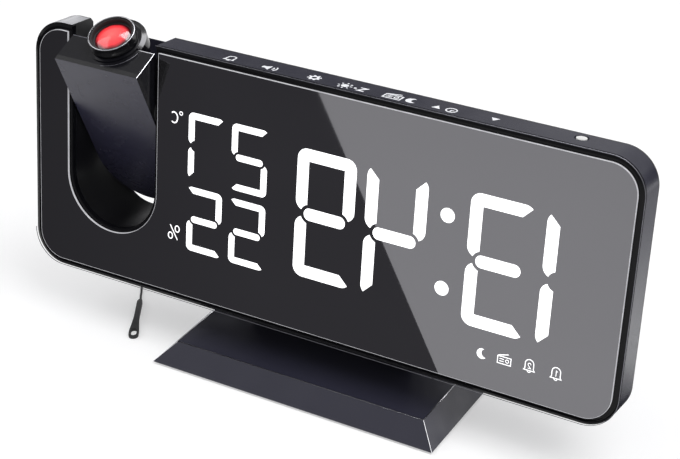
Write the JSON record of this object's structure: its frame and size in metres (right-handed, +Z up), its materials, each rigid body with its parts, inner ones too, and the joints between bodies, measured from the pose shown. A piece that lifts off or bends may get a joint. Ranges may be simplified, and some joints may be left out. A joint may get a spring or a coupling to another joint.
{
  "type": "projection alarm clock",
  "caption": "Projection alarm clock: wide leaning mirror-faced display on a low sloping base, with a swivelling projector arm, focus ring, push keys, cell door and wire antenna.",
  "frame": {"origin": "centre of the object's footprint on the table, at the bottom of the rubber feet", "axes": "+X along the face to the right as a user sees it, +Y from the face to the back, +Z up"},
  "size_m": [0.19, 0.0481, 0.097],
  "materials": {
    "case_plastic": "satin blue-black moulded ABS",
    "frame_plastic": "polished black",
    "key_plastic": "fine satin",
    "base_plastic": "satin blue-black moulded ABS",
    "base_plate": "fine spark texture",
    "mirror": "half-silvered dark mirror",
    "digit": "white diffuser, lit from behind",
    "light_box": "white moulded",
    "board": "green solder mask",
    "chip": "black moulded package",
    "led": "phosphor and clear resin",
    "screw": "zinc plated",
    "steel": "turned",
    "contact_metal": "nickel plated",
    "black_plastic": "matt",
    "washer": "waxy",
    "rubber": "matt",
    "sensor": "frosted white window",
    "lens": "polished red",
    "condenser": "polished clear",
    "slide": "liquid-crystal cell"
  },
  "bodies": {
    "root": {"base_shell": "base_plastic", "base_plate": "base_plate", "rubber_feet": "rubber", "base_screws": "screw", "stand_neck": "base_plastic", "rear_case": "case_plastic", "case_screws": "screw", "front_frame": "frame_plastic", "mirror_panel": "mirror", "slot_trim": "frame_plastic", "time_digits": "digit", "reading_digits": "digit", "colon_dots": "digit", "light_box": "light_box", "led_board": "board", "segment_leds": "led", "main_board": "board", "clock_chip": "chip", "speaker": "black_plastic", "usb_socket": "contact_metal", "dc_jack": "black_plastic", "cell_holder": "black_plastic", "backup_cell": "contact_metal", "light_sensor": "sensor", "key_board": "board", "key_switches": "contact_metal", "pivot_pins": "steel", "friction_washers": "washer", "antenna_gland": "rubber", "antenna_drop": "rubber", "antenna_coil": "rubber", "lead_tie": "rubber", "antenna_lead": "rubber", "antenna_tip": "rubber"},
    "arm": {"arm_face": "case_plastic", "arm_shell": "frame_plastic", "arm_screws": "screw", "condenser": "condenser", "time_slide": "slide", "projector_led": "led"},
    "focus": {"focus_ring": "black_plastic", "lens": "lens"},
    "alarm_key": {"alarm_key": "key_plastic"},
    "volume_key": {"volume_key": "key_plastic"},
    "set_key": {"set_key": "key_plastic"},
    "snooze_key": {"snooze_key": "key_plastic"},
    "radio_key": {"radio_key": "key_plastic"},
    "up_key": {"up_key": "key_plastic"},
    "down_key": {"down_key": "key_plastic"},
    "cell_door": {"cell_door": "case_plastic"}
  },
  "joints": [
    {"name": "arm_tilt", "type": "hinge", "parent": "root", "child": "arm", "pos_m": [-0.0669, -0.00196, 0.07247], "axis": [1, 0, 0], "range_deg": [-30, 60]},
    {"name": "focus_turn", "type": "hinge", "parent": "arm", "child": "focus", "pos_m": [-0.0669, -0.00323, 0.09111], "axis": [0, -0.3746, 0.9272], "range_deg": [-60, 60]},
    {"name": "alarm_press", "type": "slide", "parent": "root", "child": "alarm_key", "axis": [0, -0.4716, -0.8818], "range_m": [0, 0.0005], "stiffness_N_per_m": 300, "springref_m": -0.0006},
    {"name": "volume_press", "type": "slide", "parent": "root", "child": "volume_key", "axis": [0, -0.4716, -0.8818], "range_m": [0, 0.0005], "stiffness_N_per_m": 300, "springref_m": -0.0006},
    {"name": "set_press", "type": "slide", "parent": "root", "child": "set_key", "axis": [0, -0.4716, -0.8818], "range_m": [0, 0.0005], "stiffness_N_per_m": 300, "springref_m": -0.0006},
    {"name": "snooze_press", "type": "slide", "parent": "root", "child": "snooze_key", "axis": [0, -0.4716, -0.8818], "range_m": [0, 0.0005], "stiffness_N_per_m": 300, "springref_m": -0.0006},
    {"name": "radio_press", "type": "slide", "parent": "root", "child": "radio_key", "axis": [0, -0.4716, -0.8818], "range_m": [0, 0.0005], "stiffness_N_per_m": 300, "springref_m": -0.0006},
    {"name": "up_press", "type": "slide", "parent": "root", "child": "up_key", "axis": [0, -0.4716, -0.8818], "range_m": [0, 0.0005], "stiffness_N_per_m": 300, "springref_m": -0.0006},
    {"name": "down_press", "type": "slide", "parent": "root", "child": "down_key", "axis": [0, -0.4716, -0.8818], "range_m": [0, 0.0005], "stiffness_N_per_m": 300, "springref_m": -0.0006},
    {"name": "cell_door_slide", "type": "slide", "parent": "root", "child": "cell_door", "axis": [0, -0.1693, -0.9856], "range_m": [0, 0.006]}
  ]
}
